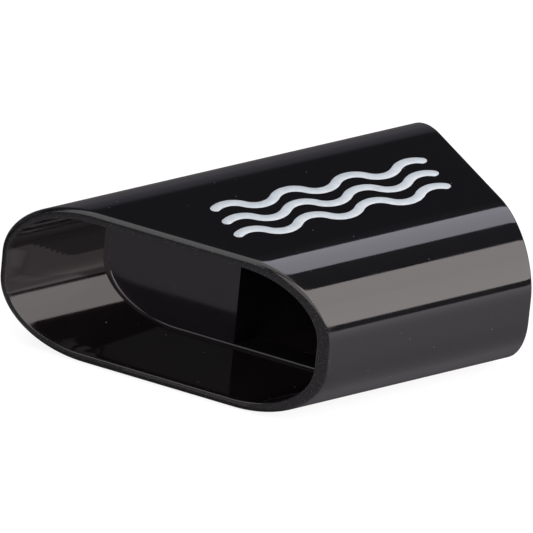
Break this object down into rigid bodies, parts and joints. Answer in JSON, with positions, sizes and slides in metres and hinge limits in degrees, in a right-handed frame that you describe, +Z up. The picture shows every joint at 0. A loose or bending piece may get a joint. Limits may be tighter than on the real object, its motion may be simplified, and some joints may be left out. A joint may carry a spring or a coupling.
{
  "type": "pull buoy",
  "caption": "Rigid hollow swim float: a rounded sleeve with a slanted open mouth, a recessed baffle, a closed float chamber and a square closed end.",
  "frame": {"origin": "under the middle of the bounding box, on the surface that the float rests on", "axes": "+X along the sleeve towards the square closed end, +Y across it towards the long side, +Z up through the printed face"},
  "size_m": [0.203, 0.124, 0.0801],
  "materials": {
    "black_plastic": "glossy moulded black with a fine grain",
    "baffle_plastic": "semi-gloss moulded black",
    "foam": "closed-cell foam, matt and finely pitted",
    "ink": "printed pale ink"
  },
  "bodies": {
    "root": {"sleeve": "black_plastic", "baffle": "baffle_plastic", "divider_wall": "baffle_plastic", "float_core_lower": "foam", "float_core_upper": "foam", "end_plug": "black_plastic", "printed_wave_1": "ink", "printed_wave_2": "ink", "printed_wave_3": "ink"}
  },
  "joints": []
}
